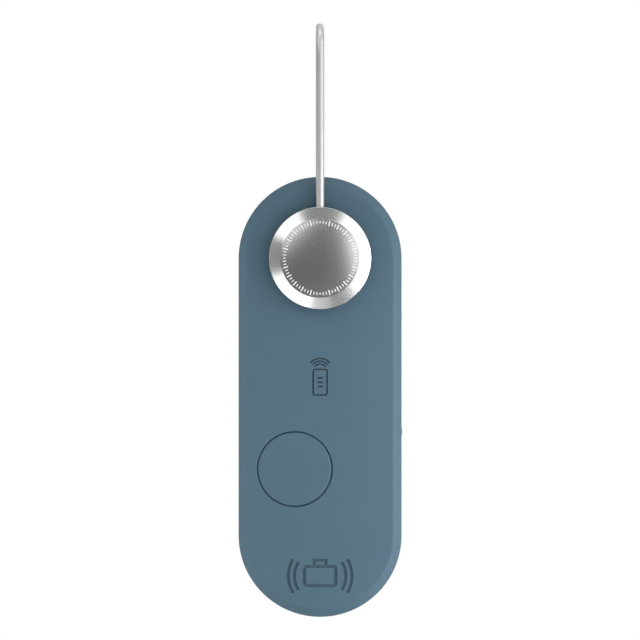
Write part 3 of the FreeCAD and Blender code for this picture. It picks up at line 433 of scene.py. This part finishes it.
def lock_screw():
    """The lock screw with its knurled head, coin slot and rolled thread."""
    teeth, steps_per_tooth = 80, 3
    head_steps = teeth * steps_per_tooth
    shank_steps = head_steps // 2
    head, shank = 11.0 * MM, 2.5 * MM
    bevel, knurl, lead = 0.8 * MM, 0.22 * MM, 0.3 * MM
    pitch, thread, flank_slope = 0.8 * MM, 0.42 * MM, 1.5
    plain_under_head, run_out, tip_share = 0.2 * MM, 0.5 * MM, 0.4
    levels_per_pitch = 8
    sharp_from = math.radians(35)
    seat = washer_back + 0.01 * MM
    back, tip = screw_high.y, screw_low.y

    def knurled(depth):
        return lambda turn: head - depth * (0.5 + 0.5 * math.cos(teeth * turn))

    def threaded(y):
        fade = min(1.0, (seat - plain_under_head - y) / run_out, (y - tip) / run_out + tip_share)
        depth = max(0.0, fade) * thread

        def radius(turn):
            phase = ((y - tip) / pitch - turn / (2 * math.pi)) % 1.0
            return shank - depth * min(1.0, abs(2 * phase - 1) * flank_slope)
        return radius

    def build(shape):
        profile = [(back, 0.3 * head), (back, 0.6 * head), (back, 0.85 * head), (back, head - bevel),
                   (back - 0.5 * bevel, head - 0.5 * bevel),
                   (back - bevel, knurled(0.3 * knurl)), (back - bevel - 0.1 * MM, knurled(knurl)),
                   (seat + lead, knurled(knurl)), (seat + 0.1 * MM, head - knurl),
                   (seat, head - lead), (seat, 1.6 * shank)]
        rings = [lathe_ring(shape, y, radius, head_steps) for y, radius in profile]
        close_ring(shape, rings[0], back)
        for one, other in zip(rings, rings[1:]):
            bridge(shape, one, other)
        count = round((seat - tip) / (pitch / levels_per_pitch))
        levels = [seat - (seat - tip) * n / count for n in range(count + 1)]
        shanks = [lathe_ring(shape, seat, shank, shank_steps)]
        shanks += [lathe_ring(shape, y, threaded(y), shank_steps) for y in levels[1:-1]]
        shanks.append(lathe_ring(shape, tip, 0.8 * shank, shank_steps))
        outer = rings[-1]
        for n in range(shank_steps):
            after = (n + 1) % shank_steps
            shape.faces.new((outer[2 * n], outer[2 * n + 1], outer[2 * n + 2 - head_steps],
                             shanks[0][after], shanks[0][n]))
        for one, other in zip(shanks, shanks[1:]):
            bridge(shape, one, other)
        close_ring(shape, shanks[-1], tip)

    def slot_box(shape):
        bmesh.ops.create_cube(shape, size=1.0)
        for vert in shape.verts:
            vert.co = (AXIS_X + vert.co.x * 3 * head, back + vert.co.y * 2 * SLOT_DEPTH,
                       AXIS_Z + vert.co.z * SLOT_WIDTH)

    material = turned_steel("lock_steel_painted_slot_shade", (190, 190, 192)).material
    made = mesh_object("lock_screw_threaded", build, material)
    carve(made, mesh_object("slot_cutter", slot_box, material))
    made.data.shade_smooth()
    made.data.set_sharp_from_angle(angle=sharp_from)
    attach(made, "lock_screw")
    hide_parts("rear_screw")


def soft_membrane():
    """A copy of the silicone membrane behind the button, standing in for the hidden CAD node."""
    made = bpy.data.objects.new("button_membrane_soft", nodes["button_membrane"].data.copy())
    bpy.context.scene.collection.objects.link(made)
    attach(made, "housing")
    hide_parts("button_membrane")
    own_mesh(made)


# ---------------------------------------------------------------- stage, light and camera

def make_camera():
    """A long lens, square to the face, aimed a little below the lock's axis."""
    lens, sensor, view_width = 420.0, 36.0, 157.3 * MM
    aim = Vector((AXIS_X - 0.02 * MM, 0, AXIS_Z - 15.14 * MM))
    data = bpy.data.cameras.new("camera")
    data.lens = lens
    data.sensor_width = sensor
    camera = bpy.data.objects.new("camera", data)
    camera.location = aim + Vector((0, -view_width * lens / sensor, 0))
    camera.rotation_euler = (math.radians(90), 0, 0)
    bpy.context.scene.collection.objects.link(camera)
    bpy.context.scene.camera = camera


def make_floor():
    """A wide pale floor, well under the hanging tag. Mirror reflections show the room in its place."""
    drop, radius, steps = 0.75, 4.4, 128

    def build(shape):
        middle = Vector((0, 0, TAG_FOOT - drop))
        turns = [2 * math.pi * n / steps for n in range(steps)]
        shape.faces.new([shape.verts.new(middle + radius * Vector((math.cos(turn), math.sin(turn), 0)))
                         for turn in turns])

    pale = Shading("pale_floor", (230, 230, 230), 0.7)
    pale.vary_roughness(pale.noise(0.05), 0.05)
    floor = mesh_object("floor", build, pale.material)
    floor.visible_glossy = False


EAST, NORTH, UP = Vector((1, 0, 0)), Vector((0, 1, 0)), Vector((0, 0, 1))


def area_light(name, place, across, up, away, width, height, radiance):
    """A rectangular light that shines along -away; across, up and away are its own axes."""
    data = bpy.data.lights.new(name, "AREA")
    data.shape = "RECTANGLE"
    data.size, data.size_y = width, height
    data.energy = radiance * math.pi * width * height
    light = bpy.data.objects.new(name, data)
    light.matrix_world = Matrix((across, up, away)).transposed().to_4x4()
    light.location = place
    light.visible_camera = False
    bpy.context.scene.collection.objects.link(light)


def panel(name, clock, inner, outer, half_width, distance, radiance):
    """A soft panel facing the lock cap, reaching from inner to outer degrees off the cap's axis.

    clock is its direction round the axis, in degrees clockwise from the right, and half_width is in
    distances.
    """
    turn, off = math.radians(clock), math.radians((inner + outer) / 2)
    side = Vector((math.cos(turn), 0, -math.sin(turn)))
    away = side * math.sin(off) - NORTH * math.cos(off)
    up = -side * math.cos(off) - NORTH * math.sin(off)
    height = 2 * distance * math.tan(math.radians((outer - inner) / 2))
    area_light(name, Vector((AXIS_X, 0, AXIS_Z)) + away * distance, up.cross(away), up, away,
               2 * distance * half_width, height, radiance)


def make_lights():
    # Panels round the cap: clock, inner, outer, half width, distance and radiance.
    panel("key_right", -12, 14, 86, 0.86, 0.6, 1.34)
    panel("upper_left", 226, 16, 75, 0.3, 0.8, 1.34)
    panel("lower_left", 131, 44, 75, 0.45, 0.8, 1.34)
    panel("below", 94, 22, 75, 0.26, 0.8, 0.42)
    panel("overhead", 270, 73, 91, 0.6, 0.8, 1.8)

    # A square light behind the tag, up and to the right, for the wire's back edges.
    behind = Vector((0.3, 0.9, 0.3)).normalized()
    across = UP.cross(behind).normalized()
    fill_distance, fill_size, fill_radiance = 1.2, 0.9, 0.7
    area_light("back_fill", behind * fill_distance, across, behind.cross(across), behind,
               fill_size, fill_size, fill_radiance)

    # Sheets that face down and light the floor: middle, width and depth.
    wash_height, wash_radiance = TAG_FOOT - 0.1, 0.9
    washes = {"wash_back": (0, 3.0, 8.8, 2.8), "wash_front": (0, -3.2, 8.8, 2.4),
              "wash_left": (-3.2, -0.2, 2.4, 3.6), "wash_right": (3.2, -0.2, 2.4, 3.6)}
    for name, (x, y, width, depth) in washes.items():
        area_light(name, (x, y, wash_height), EAST, NORTH, UP, width, depth, wash_radiance)

    # Narrow strips beside the tag, below the wire, for its long edges.
    strip_width, strip_height, strip_middle = 0.01, 0.16, Vector((0, 0, -0.12))
    strips = {"right_strip": (Vector((0.055, -0.033, 0)), 7.5),
              "left_strip": (Vector((-0.06, -0.02, 0)), 3.6)}
    for name, (place, radiance) in strips.items():
        beside = place.normalized()
        area_light(name, place + strip_middle, UP.cross(beside), UP, beside,
                   strip_width, strip_height, radiance)


def make_world():
    """White to the eye; to the object, a dim room, darkest behind the camera, with a bright skylight."""
    world = bpy.data.worlds.new("studio")
    bpy.context.scene.world = world
    world.use_nodes = True
    tree = world.node_tree
    tree.nodes.clear()
    make, link = tree.nodes.new, tree.links.new

    def ramp(value, *numbers):
        """A smooth step from one level to another: the value's two ends, then the two levels."""
        made = make("ShaderNodeMapRange")
        made.interpolation_type = "SMOOTHSTEP"
        for key, number in zip(("From Min", "From Max", "To Min", "To Max"), numbers):
            made.inputs[key].default_value = number
        link(value, made.inputs["Value"])
        return made.outputs[0]

    def added(first, second):
        made = make("ShaderNodeMath")
        link(first, made.inputs[0])
        link(second, made.inputs[1])
        return made.outputs[0]

    split = make("ShaderNodeSeparateXYZ")
    link(make("ShaderNodeTexCoord").outputs["Generated"], split.inputs[0])
    room = ramp(split.outputs["Y"], -0.95, 0.8, 0.12, 0.7)
    skylight = ramp(split.outputs["Z"], 0.88, 0.95, 0.0, 0.4)
    ground = ramp(split.outputs["Z"], -0.35, -0.05, 0.06, 0.0)
    dim, white = make("ShaderNodeBackground"), make("ShaderNodeBackground")
    dim.inputs["Color"].default_value = white.inputs["Color"].default_value = (1, 1, 1, 1)
    link(added(added(room, skylight), ground), dim.inputs["Strength"])
    mix = make("ShaderNodeMixShader")
    link(make("ShaderNodeLightPath").outputs["Is Camera Ray"], mix.inputs[0])
    link(dim.outputs[0], mix.inputs[1])
    link(white.outputs[0], mix.inputs[2])
    link(mix.outputs[0], make("ShaderNodeOutputWorld").inputs["Surface"])


bpy.context.scene.view_settings.view_transform = "Standard"
make_camera()
make_world()
make_floor()
make_lights()
dress_nodes()
cap_marks()
lock_screw()
soft_membrane()
